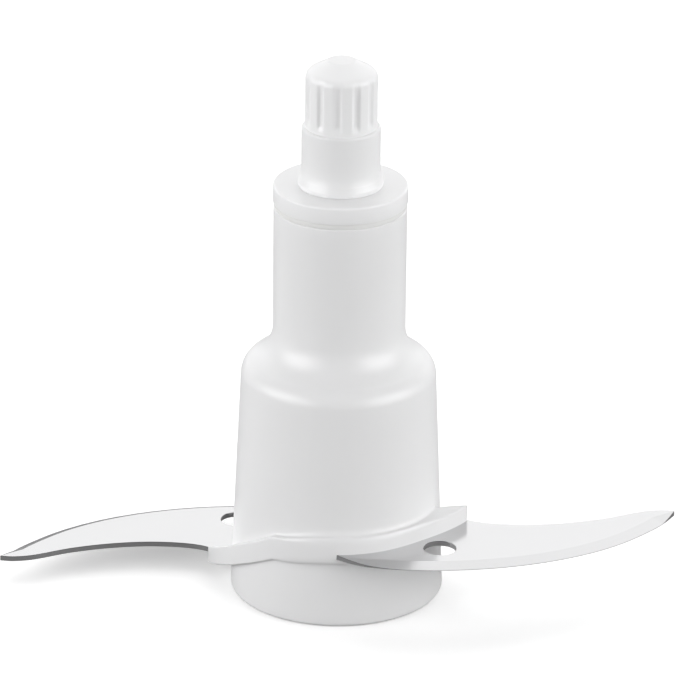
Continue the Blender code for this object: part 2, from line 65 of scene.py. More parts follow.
def span(node, axis=2):
    """Lowest and highest place of a CAD node along an axis."""
    low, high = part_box(node)
    return low[axis], high[axis]


HUB_LOW, BARREL_TOP = span("hub_shell")
COVER_LOW, COVER_HIGH = span("base_cover")
COLLAR_LOW, COLLAR_HIGH = span("collar_cap")
COLLAR_RADIUS = span("collar_cap", 0)[1]
SEAL_HIGH = span("collar_seal")[1]
SEAL_RADIUS = span("collar_seal", 0)[1]
NECK_LOW, NECK_HIGH = span("neck_sleeve")
NECK_FOOT_RADIUS = span("neck_sleeve", 0)[1]
TIP_LOW, TIP_HIGH = span("drive_tip")
TIP_RADIUS = span("drive_tip", 1)[1]
UPPER_LOW, UPPER_HIGH = span("upper_blade")
LOWER_LOW, LOWER_HIGH = span("lower_blade")
BLADE_REACH = span("upper_blade", 0)[1]
RING_RADIUS = -span("upper_blade", 0)[0]
HUB_RADIUS = 20.0 * MM  # that the blades' outline is drawn against
CORE_RADIUS = RING_RADIUS - 3.3 * MM
CORE_FLAT = 0.8 * MM  # depth of the flats that drive the blades
HOLE_SPOT = (0.96 * HUB_RADIUS, -0.85 * HUB_RADIUS)

# How the flange runs round the hub, in degrees past one of its ends
SWELL, SWELL_CURVE = 49.0, 2.5  # before an end its reach grows
FADE, FADE_CURVE = 65.0, 1.85  # after it the reach dies away
REAR, REAR_FALL = 90.0, 28.0  # degrees from +X, where the rear top falls to the lower blade
RISE = (56, 92)  # where the left part reaches the root's height
LEVEL = (65, 98)  # where its underside does
START = (0.0, 2.5)  # where it takes its own height
SKEW_RUN = 30.0
TOP_FADE = ((60, 100), (120, 168))  # where its upper edge softens, and is crisp again
LOW_FADE = ((58, 82), (150, 172))  # and its lower edge
END_COLUMNS = (0.8, 0.55, 0.35, 0.2, 0.08, 0.0, -0.3)  # degrees before an end that need a column
END_CLEAR = (-0.9, 0.65)

# Smoothness of round pieces
RIM_STEPS = 192
PIECE_STEPS = 160

# Which part of the sky each light covers, as the cosine of the angle to its middle
SIDE_SPREAD = (0.78, 0.93)
TOP_SPREAD = (0.42, 0.86)

# Sizes


def length(name, description, default, low=0.0, high=1.0):
    return FloatProperty(
        name=name, description=description, default=default, min=low, max=high,
        unit="LENGTH", precision=5,
    )


def share(name, description, default, low=0.0, high=1.0):
    return FloatProperty(name=name, description=description, default=default, min=low, max=high)


def turn(name, description, degrees):
    return FloatProperty(
        name=name, description=description, default=math.radians(degrees), unit="ROTATION"
    )


def colour(name, description, default):
    return FloatVectorProperty(
        name=name, description=description, default=default, size=3, min=0.0, max=1.0,
        subtype="COLOR",
    )


class KnifeHubSizes(bpy.types.PropertyGroup):
    base_radius: length("Base radius", "Outside of the skirt at its foot", 20.0 * MM)
    foot_edge: length("Foot edge", "Rounding of the foot", 0.8 * MM)
    wall: length("Wall", "Wall of the skirt", 2.0 * MM)
    skirt_top_radius: length("Skirt top radius", "Outside at the top of the skirt", 18.25 * MM)
    skirt_top: length("Skirt top", "Height where the skirt turns into the shoulder", 43.3 * MM)
    shoulder_radius: length("Shoulder radius", "Rounding of the shoulder", 3.9 * MM)
    shoulder_slope: turn("Shoulder slope", "Slope from the vertical", 62.5)
    waist_radius: length("Waist radius", "Hollow between shoulder and barrel", 7.0 * MM)
    barrel_radius: length("Barrel radius", "Outside of the barrel", 12.37 * MM)
    barrel_wall: length("Barrel wall", "Wall of the barrel", 1.77 * MM)
    columns: IntProperty(name="Columns", description="Steps round the hub", default=288, min=24)


class KnifeFlangeSizes(bpy.types.PropertyGroup):
    proud: length("Proud", "How far the flange always stands out", 0.55 * MM)
    reach: length("Reach", "How far its ends stand out", 4.9 * MM)
    lip: length("Lip", "Plastic below each blade", 1.15 * MM)
    roof: length("Roof", "Plastic above each blade at its root", 3.3 * MM)
    end_roof: length("End roof", "Plastic above each blade at the flange's end", 3.2 * MM)
    start: length("Start height", "Height of the rising part where it starts", 3.4 * MM)
    middle: length("Middle height", "Its height where it meets the blade's root", 4.6 * MM)
    dip: length("Dip", "How far the rise stays under the root's level where it ends", 0.8 * MM)
    end_angle: turn("End angle", "Where the part over the upper blade ends", -11.0)
    end_skew: turn("End skew", "How much further back the end lies at the skirt", 8.0)
    crisp_edge: length("Crisp edge", "Rounding of its clear edges", 0.3 * MM)
    soft_edge: length("Soft edge", "Height over which its faded edges run out", 1.9 * MM)


class KnifeBladeSizes(bpy.types.PropertyGroup):
    bevel: length("Bevel", "Width of the ground bevel", 2.2 * MM)
    land: length("Land", "Thickness left at the cutting edge", 0.12 * MM)
    edge: length("Edge break", "Broken edge round the rest", 0.06 * MM)
    hole: length("Hole radius", "Radius of the hole near the root", 3.05 * MM)


class KnifeTopSizes(bpy.types.PropertyGroup):
    collar_edge: length("Collar edge", "Rounding of the collar", 0.4 * MM)
    neck_radius: length("Neck radius", "Outside of the neck", 7.3 * MM)
    neck_foot: length("Neck foot", "Height of the ring at its foot", 1.4 * MM)
    neck_edge: length("Neck edge", "Chamfer at the neck's top", 0.5 * MM)
    neck_bore: length("Neck bore", "Hole that holds the tip's shank", 4.6 * MM)
    tip_cone: length("Tip cone", "Height of the cone on the tip", 2.4 * MM)
    tip_end_radius: length("Tip end radius", "Flat end of the tip", 2.7 * MM)
    tip_shank_radius: length("Shank radius", "Shank of the tip", 4.3 * MM)
    splines: IntProperty(name="Splines", description="Grooves round the tip", default=12, min=3)
    spline_depth: length("Spline depth", "Depth of each groove", 0.42 * MM)
    spline_width: turn("Spline width", "Angle that each groove takes", 13.0)
    spline_phase: turn("Spline phase", "Middle of one groove", -95.5)


class KnifeFinishes(bpy.types.PropertyGroup):
    plastic: colour("White plastic", "Hub and neck", (0.775, 0.775, 0.78))
    # Paler copy of the white plastic for the collar and tip: painted light, the extra brightness of the
    # top light on them put into the colour
    pale: colour("Plastic with painted top light", "Collar and tip", (0.83, 0.83, 0.835))
    inner: colour("Inner plastic", "Core and base cover", (0.70, 0.71, 0.73))
    bearing: colour("Bearing plastic", "Bushes and pad", (0.84, 0.82, 0.75))
    rubber: colour("Seal rubber", "Ring under the collar", (0.74, 0.74, 0.73))
    steel: colour("Blade steel", "Ground and polished blades", (0.59, 0.59, 0.595))
    turned_steel: colour("Turned steel", "Sleeve, clip and cross pin", (0.58, 0.58, 0.60))
    plastic_roughness: share("Plastic roughness", "Roughness of the white plastic", 0.34)
    steel_roughness: share("Steel roughness", "Roughness of the blades", 0.17)


class KnifeStage(bpy.types.PropertyGroup):
    floor_colour: colour("Floor", "Colour of the floor", (0.90, 0.90, 0.90))
    floor_radius: length("Floor radius", "Radius of the floor", 9.0, 0.5, 100.0)
    floor_glow: share("Floor glow", "Light from under the pale floor", 0.34, 0.0, 5.0)
    floor_return: share("Floor return", "Part of that light that reaches the object", 0.1)
    floor_bounce: share("Floor bounce", "Light that the floor throws back", 0.14)
    room_light: share("Room light", "Brightness all round", 0.05, 0.0, 5.0)
    side_light: share("Side light", "Added by the softbox on each side", 5.2, 0.0, 20.0)
    top_light: share("Top light", "Added overhead", 1.37, 0.0, 5.0)
    camera_distance: length("Camera distance", "From the foot of the hub", 1.2, 0.1, 20.0)
    camera_height: turn("Camera height", "Angle above the floor", 25.5)
    camera_pitch: turn("Camera pitch", "Angle that it looks down", 23.316)
    camera_yaw: turn("Camera yaw", "Angle that it looks to the right", 0.0104)
    camera_roll: turn("Camera roll", "Angle that it leans", 0.63)
    camera_lens: FloatProperty(
        name="Lens", description="Focal length in millimetres", default=335.1, min=1.0
    )


GROUPS = {
    "knife_hub": KnifeHubSizes,
    "knife_flange": KnifeFlangeSizes,
    "knife_blade": KnifeBladeSizes,
    "knife_top": KnifeTopSizes,
    "knife_finish": KnifeFinishes,
    "knife_stage": KnifeStage,
}

# Mesh work


def make_piece(name, shape, material, body, stands_for=(), crease=35):
    """Turns a bmesh into a shown piece that rides on a CAD body. Crease is in degrees."""
    bmesh.ops.remove_doubles(shape, verts=shape.verts, dist=0.0004 * MM)
    bmesh.ops.recalc_face_normals(shape, faces=shape.faces)
    mesh = bpy.data.meshes.new(name)
    shape.to_mesh(mesh)
    shape.free()
    mesh.shade_smooth()
    mesh.set_sharp_from_angle(angle=math.radians(crease))
    mesh.materials.append(material)
    piece = bpy.data.objects.new(name, mesh)
    bpy.context.scene.collection.objects.link(piece)
    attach(piece, body)
    if stands_for:
        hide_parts(*stands_for)
    return piece


def finish_node(node, material):
    """Gives a CAD node that stays its finish."""
    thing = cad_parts[node]
    thing.data.materials.clear()
    thing.data.materials.append(material)


def smooth_step(low, high, value):
    part = min(1.0, max(0.0, (value - low) / (high - low)))
    return part * part * (3.0 - 2.0 * part)


def mixed(first, second, part):
    return first + (second - first) * part


def arc(centre, radius, start, end, steps, tall=None):
    """Points (r, z) on an arc, angles in degrees from outward. Tall is its other radius."""
    tall = radius if tall is None else tall
    points = []
    for step in range(steps + 1):
        angle = math.radians(start + (end - start) * step / steps)
        points.append((centre[0] + radius * math.cos(angle), centre[1] + tall * math.sin(angle)))
    return points


def rounded(corners, radius, steps=4):
    """Rounds every corner of a closed (r, z) line by at most the radius."""
    line = []
    for index, corner in enumerate(corners):
        here = Vector(corner)
        before = Vector(corners[index - 1]) - here
        after = Vector(corners[(index + 1) % len(corners)]) - here
        reach = min(radius, before.length * 0.45, after.length * 0.45)
        if here.x == 0.0 or reach < 0.01 * MM:
            line.append(tuple(here))
            continue
        start, end = here + before.normalized() * reach, here + after.normalized() * reach
        for step in range(steps + 1):
            t = step / steps
            line.append(tuple(start * (1 - t) ** 2 + here * (2 * t * (1 - t)) + end * t ** 2))
    return line


def spread(first, second, steps):
    """Points strictly between two (r, z) points."""
    return [
        (mixed(first[0], second[0], step / steps), mixed(first[1], second[1], step / steps))
        for step in range(1, steps)
    ]


def grid_shape(columns):
    """Skins closed columns of equal point count into a closed ring."""
    shape = bmesh.new()
    rows = [[shape.verts.new(point) for point in column] for column in columns]
    for first, second in zip(rows, rows[1:] + rows[:1]):
        for index in range(len(first)):
            after = (index + 1) % len(first)
            corners = (first[index], second[index], second[after], first[after])
            if len({tuple(corner.co) for corner in corners}) > 2:
                shape.faces.new(corners)
    return shape


def turned_shape(profile, steps):
    """Turns a closed (r, z) line round Z."""
    columns = []
    for step in range(steps):
        angle = math.tau * step / steps
        columns.append([(r * math.cos(angle), r * math.sin(angle), z) for r, z in profile])
    return grid_shape(columns)


def plate_shape(outline_rings, hole_rings):
    """Skins stacks of rings, lowest first, and fills the flat faces between them."""
    shape = bmesh.new()
    ends = ([], [])
    for rings in [outline_rings] + hole_rings:
        rows = [[shape.verts.new(point) for point in ring] for ring in rings]
        for lower, upper in zip(rows, rows[1:]):
            for index in range(len(lower)):
                after = (index + 1) % len(lower)
                shape.faces.new((lower[index], lower[after], upper[after], upper[index]))
        for edges, row in zip(ends, (rows[0], rows[-1])):
            edges += [shape.edges.get(pair) for pair in zip(row, row[1:] + row[:1])]
    for edges in ends:
        bmesh.ops.triangle_fill(shape, use_beauty=True, use_dissolve=False, edges=edges)
    return shape


def smooth_line(points, steps):
    """A smooth curve through the points, with the given steps between neighbours."""
    padded = [points[0]] + list(points) + [points[-1]]
    line = []
    for before, start, end, after in zip(padded, padded[1:], padded[2:], padded[3:]):
        for step in range(steps):
            t = step / steps
            line.append(tuple(
                0.5 * (2 * b + (c - a) * t + (2 * a - 5 * b + 4 * c - d) * t ** 2
                       + (3 * b - a - 3 * c + d) * t ** 3)
                for a, b, c, d in zip(before, start, end, after)
            ))
    line.append(tuple(points[-1]))
    return line


def pushed_in(line, widths):
    """Moves each point of a closed line to its left by its own width."""
    moved = []
    for index, (x, y) in enumerate(line):
        ahead, behind = line[(index + 1) % len(line)], line[index - 1]
        run, rise = ahead[0] - behind[0], ahead[1] - behind[1]
        size = math.hypot(run, rise)
        moved.append((x - rise / size * widths[index], y + run / size * widths[index]))
    return moved


# Hub shell


def shoulder_line(hub):
    """The outer line from the top of the skirt over the shoulder into the barrel, going up."""
    lean = math.degrees(math.atan2(hub.base_radius - hub.skirt_top_radius, hub.skirt_top))
    slope = hub.shoulder_slope
    centre = (
        hub.skirt_top_radius - hub.shoulder_radius * math.cos(math.radians(lean)),
        hub.skirt_top - hub.shoulder_radius * math.sin(math.radians(lean)),
    )
    crown = arc(centre, hub.shoulder_radius, lean, math.degrees(slope), 12)
    hollow_x = hub.barrel_radius + hub.waist_radius
    start_r = hollow_x - hub.waist_radius * math.cos(slope)
    start_z = crown[-1][1] + (crown[-1][0] - start_r) / math.tan(slope)
    hollow_z = start_z + hub.waist_radius * math.sin(slope)
    hollow = arc((hollow_x, hollow_z), hub.waist_radius, 180 + math.degrees(slope), 180, 16)
    return crown + spread(crown[-1], hollow[0], 3) + hollow


def flange_section(angle, flange):
    """(outer radius past the base radius, underside, top) at an angle in degrees, -90 to 270."""
    end = math.degrees(flange.end_angle)
    upper_floor, lower_floor = UPPER_LOW - flange.lip, LOWER_LOW - flange.lip
    upper_end, upper_root = UPPER_HIGH + flange.end_roof, UPPER_HIGH + flange.roof
    lower_root = LOWER_HIGH + flange.roof
    under_upper, under_lower = UPPER_LOW - GAP, LOWER_LOW - GAP
    past, past_lower = angle - end, angle - end - 180.0
    if past <= 0.0:
        reach = max(0.0, 1.0 + past / SWELL) ** SWELL_CURVE
        part = 1.0 + past / (REAR + end)
        underside, top = upper_floor, mixed(upper_root, upper_end, part)
    elif past <= FADE:
        part = past / FADE
        reach = (1.0 - part) ** FADE_CURVE
        underside = mixed(upper_floor - flange.lip, lower_floor, part)
        top = mixed(under_upper, lower_root, part)
    elif past_lower <= 0.0:
        reach = max(0.0, 1.0 + past_lower / SWELL) ** SWELL_CURVE
        fall = min(1.0, max(0.0, (angle - REAR) / REAR_FALL))
        underside, top = lower_floor - flange.lip * reach, mixed(lower_root, under_lower, fall)
    else:
        climb, rise = min(1.0, past_lower / FADE), smooth_step(*RISE, past_lower)
        reach = (1.0 - climb) ** FADE_CURVE
        start = lower_floor - flange.lip
        level = smooth_step(*LEVEL, past_lower)
        underside = mixed(start, upper_floor - flange.dip * (1 - level), climb)
        height = mixed(flange.start, flange.middle, climb)
        height = mixed(under_lower - start, height, smooth_step(*START, past_lower))
        top = underside + height + (upper_root - upper_floor - height) * rise
    return mixed(flange.proud, flange.reach, reach), underside, top


def hub_column(angle, hub, flange, upper_line, inner_line):
    """One closed (r, z) line through the wall of the hub, with its piece of the flange."""
    def skirt(z):
        part = (z - hub.foot_edge) / (hub.skirt_top - hub.foot_edge)
        return mixed(hub.base_radius, hub.skirt_top_radius, part)

    out, underside, top = flange_section(angle, flange)
    radius = hub.base_radius + out
    past = (angle - math.degrees(flange.end_angle)) % 180.0
    faded_top, faded_low = (
        smooth_step(*soft, past) * (1 - smooth_step(*crisp, past))
        for soft, crisp in (TOP_FADE, LOW_FADE)
    )
    from_end = math.radians(180.0 - past) * radius
    inset = 0.0
    if from_end < flange.crisp_edge:
        depth = flange.crisp_edge - from_end
        inset = flange.crisp_edge - math.sqrt(flange.crisp_edge ** 2 - depth ** 2)
    radius, top = radius - inset, top - inset

    def edge(z, faded, side):
        """Root fillet and outer edge, from the skirt outwards, on the side that faces up or down."""
        stand = radius - skirt(z)
        half = (top - underside) * 0.45
        out_r = mixed(min(flange.crisp_edge, 0.4 * stand), 0.5 * stand, faded)
        out_z = min(half, mixed(flange.crisp_edge, flange.soft_edge, faded))
        root_r = mixed(min(1.4 * flange.crisp_edge, 0.4 * stand), 0.5 * stand, faded)
        root_z = mixed(1.4 * flange.crisp_edge, flange.soft_edge, faded)
        root = arc((skirt(z) + root_r, z + side * root_z), root_r, 180, 180 + 90 * side, 5, root_z)
        rim = arc((radius - out_r, z - side * out_z), out_r, 90 * side, 0, 5, out_z)
        return root + rim

    foot = arc((hub.base_radius - hub.foot_edge, hub.foot_edge), hub.foot_edge, -90, 0, 6)
    below = edge(underside, faded_low, -1)
    above = list(reversed(edge(top, faded_top, 1)))
    line = foot + spread(foot[-1], below[0], 6) + below
    line += spread(below[-1], above[0], 4) + above
    line += spread(above[-1], upper_line[0], 12) + upper_line + inner_line
    return line


def hub_shape(hub, flange):
    shoulder = shoulder_line(hub)
    bore = hub.barrel_radius - hub.barrel_wall
    edge = 0.25 * MM
    rim = arc((hub.barrel_radius - edge, BARREL_TOP - edge), edge, 0, 90, 4)
    upper_line = shoulder + spread(shoulder[-1], rim[0], 8) + rim
    inner_line = [
        (bore, BARREL_TOP), (bore, shoulder[-1][1] - hub.wall),
        (hub.skirt_top_radius - hub.wall, hub.skirt_top),
        (hub.base_radius - hub.wall, 0.3 * MM), (hub.base_radius - hub.wall + 0.3 * MM, HUB_LOW),
    ]
    end = math.degrees(flange.end_angle)
    angles = [-90.0 + 360.0 * step / hub.columns for step in range(hub.columns)]
    for place in (end, end + 180.0):
        angles = [angle for angle in angles if not END_CLEAR[0] < angle - place < END_CLEAR[1]]
        angles += [place - back for back in END_COLUMNS]
    root = hub.base_radius - hub.wall
    corner = hub.base_radius + flange.reach
    columns = []
    for angle in sorted(angles):
        skew = flange.end_skew * max(0.0, 1.0 - abs(angle - end) / SKEW_RUN)
        column = []
        for r, z in hub_column(angle, hub, flange, upper_line, inner_line):
            back = min(1.0, (corner - r) / (corner - root))
            place = math.radians(angle) - skew * back
            column.append((r * math.cos(place), r * math.sin(place), z))
        columns.append(column)
    return grid_shape(columns)


# Blades


def blade_lines():
    """Leading edge from root to tip, then trailing edge from tip to root, then the root inside."""
    root = HUB_RADIUS
    run = BLADE_REACH - root

    def spot(part, side):
        return root + part * run, side * root

    leading = smooth_line([
        (-0.02 * root, -root - GAP), (0.3 * root, -1.185 * root), (0.85 * root, -1.245 * root),
        spot(0.23, -1.17), spot(0.505, -0.97), spot(0.734, -0.665), spot(0.917, -0.262),
        spot(1.0, 0.03),
    ], 16)
    trailing = smooth_line([
        spot(1.0, 0.03), spot(0.94, 0.045), spot(0.85, 0.002), spot(0.69, -0.16),
        spot(0.505, -0.275), spot(0.32, -0.315), spot(0.14, -0.255), (root, -0.05 * root),
        (0.84 * root, 0.1 * root),
    ], 12)
    ring = arc((0.0, 0.0), RING_RADIUS, 55, 200, 30)
    return leading, trailing[1:], ring + [(-0.42 * root, -0.72 * root)]


def circle(radius, centre, steps):
    return [
        (centre[0] + radius * math.cos(math.tau * step / steps),
         centre[1] + radius * math.sin(math.tau * step / steps))
        for step in range(steps)
    ]


def blade_shape(sizes, low, high, side):
    leading, trailing, root = blade_lines()
    outline = leading + trailing + root
    tail = trailing + leading[-1:]
    widths, heights = [], []
    for index, (x, y) in enumerate(outline):
        width = 0.0
        if index < len(leading):
            room = min(math.hypot(x - a, y - b) for a, b in tail)
            ramp = smooth_step(0, 26, index)
            width = min(sizes.bevel, 0.5 * room) * ramp
        widths.append(max(width, sizes.edge))
        heights.append((high - low - sizes.land) * max(0.0, width / sizes.bevel))
    inner = pushed_in(outline, widths)
    broken = pushed_in(outline, [sizes.edge] * len(outline))

    def ring(points, levels):
        return [(x * side, y * side, z) for (x, y), z in zip(points, levels)]

    count = len(outline)
    shoulders = [high - max(drop, sizes.edge) for drop in heights]
    rings = [
        ring(broken, [low] * count), ring(outline, [low + 0.5 * sizes.edge] * count),
        ring(outline, shoulders), ring(inner, [high] * count),
    ]
    bore = CORE_RADIUS
    flat = bore - CORE_FLAT
    bore_line = [(x, max(-flat, min(flat, y))) for x, y in circle(bore, (0, 0), 64)]
    holes = []
    for line, radius in (
        (bore_line, bore),
        (circle(sizes.hole, HOLE_SPOT, 48), sizes.hole),
    ):
        middle = (sum(x for x, _ in line) / len(line), sum(y for _, y in line) / len(line))
        wide = [
            (mixed(middle[0], x, 1 + sizes.edge / radius), mixed(middle[1], y, 1 + sizes.edge / radius))
            for x, y in line
        ]
        levels = ((wide, low), (line, low + sizes.edge), (line, high - sizes.edge), (wide, high))
        holes.append([ring(points, [z] * len(line)) for points, z in levels])
    return plate_shape(rings, holes)


# Top of the hub


def spline_tip_shape(top):
    """The tip as columns round Z, with the grooves sunk between two soft ends."""
    base = NECK_HIGH
    shoulder = TIP_HIGH - top.tip_cone
    outside = [(top.tip_shank_radius, TIP_LOW), (top.tip_shank_radius, base)]
    outside += [(TIP_RADIUS, base), (TIP_RADIUS, base + 0.2 * MM)]
    outside += spread(outside[-1], (TIP_RADIUS, shoulder - 1.1 * MM), 26)
    lean = math.degrees(math.atan2(TIP_RADIUS - top.tip_end_radius, top.tip_cone))
    bend = 1.7 * MM
    outside += arc((TIP_RADIUS - bend, shoulder - 1.0 * MM), bend, 0, lean, 8)
    end = arc((top.tip_end_radius - 0.35 * MM, TIP_HIGH - 0.5 * MM), 0.5 * MM, lean, 90, 5)
    outside += spread(outside[-1], end[0], 6) + end
    profile = outside + [(0.0, TIP_HIGH), (0.0, TIP_LOW)]
    steps = top.splines * 24
    half = top.spline_width / 2
    columns = []
    for step in range(steps):
        angle = math.tau * step / steps
        pitch = math.tau / top.splines
        off = abs((angle - top.spline_phase + pitch / 2) % pitch - pitch / 2)
        groove = 1 - smooth_step(0.3 * half, 1.25 * half, off)
        column = []
        for r, z in profile:
            fade = smooth_step(base + 0.4 * MM, base + 2.0 * MM, z)
            fade *= 1 - smooth_step(shoulder - 3.4 * MM, shoulder + 1.3 * MM, z)
            sunk = r - top.spline_depth * groove * fade if r > top.tip_shank_radius else r
            column.append((sunk * math.cos(angle), sunk * math.sin(angle), z))
        columns.append(column)
    return grid_shape(columns)


def neck_profile(top):
    base = COLLAR_HIGH
    foot_top = base + top.neck_foot
    blend = NECK_FOOT_RADIUS - top.neck_radius
    shank = NECK_FOOT_RADIUS - 1.5 * MM
    edge = 0.18 * MM
    line = [(top.neck_bore, NECK_LOW), (shank, NECK_LOW), (shank, base)]
    line += arc((NECK_FOOT_RADIUS - edge, base + edge), edge, -90, 0, 3)
    line += arc((NECK_FOOT_RADIUS - edge, foot_top - blend), edge, 0, 50, 3)
    line += arc((top.neck_radius + blend, foot_top + 4 * blend), blend, 250, 180, 10, 3.4 * blend)
    line += [(top.neck_radius, NECK_HIGH - 6 * MM)]
    line += arc((top.neck_radius - top.neck_edge, NECK_HIGH - top.neck_edge), top.neck_edge, 0, 90, 6)
    return line + [(top.neck_bore + edge, NECK_HIGH), (top.neck_bore, NECK_HIGH - edge)]


# Materials


class Nodes:
    """Adds nodes to a tree and links them."""

    def __init__(self, tree):
        self.tree = tree

    def add(self, kind, inputs=None, **settings):
        node = self.tree.nodes.new(kind)
        for name, value in settings.items():
            setattr(node, name, value)
        for key, value in (inputs or {}).items():
            socket = node.inputs[key]
            if isinstance(value, bpy.types.NodeSocket):
                self.tree.links.new(value, socket)
            else:
                socket.default_value = value
        return node

    def math(self, operation, *values):
        return self.add("ShaderNodeMath", dict(enumerate(values)), operation=operation).outputs[0]

    def link(self, source, target):
        self.tree.links.new(source, target)


def new_group(name, inputs, outputs):
    tree = bpy.data.node_groups.new(name, "ShaderNodeTree")
    for label, kind, default in inputs:
        socket = tree.interface.new_socket(name=label, in_out="INPUT", socket_type=kind)
        socket.default_value = default
    for label, kind in outputs:
        tree.interface.new_socket(name=label, in_out="OUTPUT", socket_type=kind)
    nodes = Nodes(tree)
    return nodes, nodes.add("NodeGroupInput").outputs, nodes.add("NodeGroupOutput").inputs


def moulded_group():
    """Slight clouding, fine texture of the mould and faint handling marks of plastic."""
    found = bpy.data.node_groups.get("Moulded surface")
    if found:
        return found
    nodes, given, result = new_group(
        "Moulded surface",
        [
            ("Colour", "NodeSocketColor", (0.8, 0.8, 0.8, 1.0)),
            ("Roughness", "NodeSocketFloat", 0.35),
            ("Clouding", "NodeSocketFloat", 0.02),
            ("Handling", "NodeSocketFloat", 0.06),
            ("Texture size", "NodeSocketFloat", 0.3 * MM),
        ],
        [("Colour", "NodeSocketColor"), ("Roughness", "NodeSocketFloat"),
         ("Height", "NodeSocketFloat")],
    )
    place = nodes.add("ShaderNodeTexCoord").outputs["Object"]
    cloud = nodes.add(
        "ShaderNodeTexNoise", {"Vector": place, "Scale": 95.0, "Detail": 3.0, "Roughness": 0.5}
    ).outputs[0]
    flow = nodes.add("ShaderNodeMapping", {"Vector": place, "Scale": (1.0, 1.0, 0.18)}).outputs[0]
    streak = nodes.add(
        "ShaderNodeTexNoise", {"Vector": flow, "Scale": 420.0, "Detail": 2.0}
    ).outputs[0]
    blend = nodes.math("ADD", nodes.math("MULTIPLY", cloud, 0.7), nodes.math("MULTIPLY", streak, 0.3))
    shift = nodes.math("MULTIPLY", nodes.math("SUBTRACT", blend, 0.5), given["Clouding"])
    tone = nodes.math("ADD", 1.0, nodes.math("MULTIPLY", shift, 2.0))
    tinted = nodes.add("ShaderNodeVectorMath", {0: given["Colour"]}, operation="SCALE")
    nodes.link(tone, tinted.inputs["Scale"])
    nodes.link(tinted.outputs[0], result["Colour"])
    marks = nodes.add(
        "ShaderNodeTexNoise", {"Vector": place, "Scale": 60.0, "Detail": 5.0, "Roughness": 0.62}
    ).outputs[0]
    shine = nodes.math("MULTIPLY", nodes.math("SUBTRACT", marks, 0.5), given["Handling"])
    rough = nodes.math("ADD", given["Roughness"], nodes.math("MULTIPLY", shine, 2.0))
    nodes.link(rough, result["Roughness"])
    scale = nodes.math("DIVIDE", 1.0, given["Texture size"])
    grain = nodes.add(
        "ShaderNodeTexNoise", {"Vector": place, "Scale": scale, "Detail": 2.0}
    ).outputs[0]
    nodes.link(grain, result["Height"])
    return nodes.tree


def ground_group():
    """Fine parallel grinding lines and a faint haze on steel."""
    found = bpy.data.node_groups.get("Ground steel")
    if found:
        return found
    nodes, given, result = new_group(
        "Ground steel",
        [
            ("Colour", "NodeSocketColor", (0.9, 0.9, 0.9, 1.0)),
            ("Roughness", "NodeSocketFloat", 0.12),
            ("Line turn", "NodeSocketFloat", 0.3),
            ("Line strength", "NodeSocketFloat", 0.05),
            ("Haze", "NodeSocketFloat", 0.04),
        ],
        [("Colour", "NodeSocketColor"), ("Roughness", "NodeSocketFloat"),
         ("Height", "NodeSocketFloat")],
    )
    place = nodes.add("ShaderNodeTexCoord").outputs["Object"]
    spun = nodes.add("ShaderNodeVectorRotate", {"Vector": place}, rotation_type="Z_AXIS")
    nodes.link(given["Line turn"], spun.inputs["Angle"])
    stretched = nodes.add(
        "ShaderNodeMapping", {"Vector": spun.outputs[0], "Scale": (0.035, 1.0, 1.0)}
    ).outputs[0]
    lines = nodes.add(
        "ShaderNodeTexNoise", {"Vector": stretched, "Scale": 5200.0, "Detail": 3.0}
    ).outputs[0]
    haze = nodes.add(
        "ShaderNodeTexNoise", {"Vector": place, "Scale": 75.0, "Detail": 4.0, "Roughness": 0.55}
    ).outputs[0]
    line_part = nodes.math("MULTIPLY", nodes.math("SUBTRACT", lines, 0.5), given["Line strength"])
    haze_part = nodes.math("MULTIPLY", nodes.math("SUBTRACT", haze, 0.5), given["Haze"])
    both = nodes.math("ADD", line_part, haze_part)
    nodes.link(nodes.math("ADD", given["Roughness"], both), result["Roughness"])
    tone = nodes.math("ADD", 1.0, nodes.math("MULTIPLY", both, -0.35))
    tinted = nodes.add("ShaderNodeVectorMath", {0: given["Colour"]}, operation="SCALE")
    nodes.link(tone, tinted.inputs["Scale"])
    nodes.link(tinted.outputs[0], result["Colour"])
    nodes.link(lines, result["Height"])
    return nodes.tree


def surface_material(name, group, values, bump, metallic=0.0):
    """A Principled material whose colour, roughness and bump come from one of the groups."""
    found = bpy.data.materials.get(name)
    if found:
        return found
    material = bpy.data.materials.new(name)
    material.use_nodes = True
    nodes = Nodes(material.node_tree)
    shader = material.node_tree.nodes["Principled BSDF"]
    surface = nodes.add("ShaderNodeGroup", node_tree=group)
    for key, value in values.items():
        surface.inputs[key].default_value = value
    bumped = nodes.add(
        "ShaderNodeBump",
        {"Height": surface.outputs["Height"], "Strength": bump, "Distance": 0.02 * MM},
    )
    nodes.link(surface.outputs["Colour"], shader.inputs["Base Color"])
    nodes.link(surface.outputs["Roughness"], shader.inputs["Roughness"])
    nodes.link(bumped.outputs[0], shader.inputs["Normal"])
    shader.inputs["Metallic"].default_value = metallic
    return material


def plastic(name, tone, roughness, size=0.3 * MM, bump=0.06):
    values = {"Colour": (*tone, 1.0), "Roughness": roughness, "Texture size": size}
    return surface_material(name, moulded_group(), values, bump)


def white_plastic(finish):
    return plastic("White plastic", finish.plastic, finish.plastic_roughness)


# Same plastic as the hub and neck, made paler: painted top light on the collar and tip
def painted_light_plastic(finish):
    return plastic("Plastic with painted top light", finish.pale, finish.plastic_roughness)


def steel(name, tone, roughness, lines, bump=0.03):
    values = {"Colour": (*tone, 1.0), "Roughness": roughness, "Line strength": lines}
    return surface_material(name, ground_group(), values, bump, metallic=1.0)


# Operators


class KNIFE_OT_hub(bpy.types.Operator):
    """Build the hub's shell with the flange that backs both blades"""

    bl_idname = "knife.hub"
    bl_label = "Hub Shell"

    def execute(self, context):
        scene = context.scene
        shape = hub_shape(scene.knife_hub, scene.knife_flange)
        material = white_plastic(scene.knife_finish)
        make_piece("hub", shape, material, "knife", ["hub_shell"])
        return {"FINISHED"}


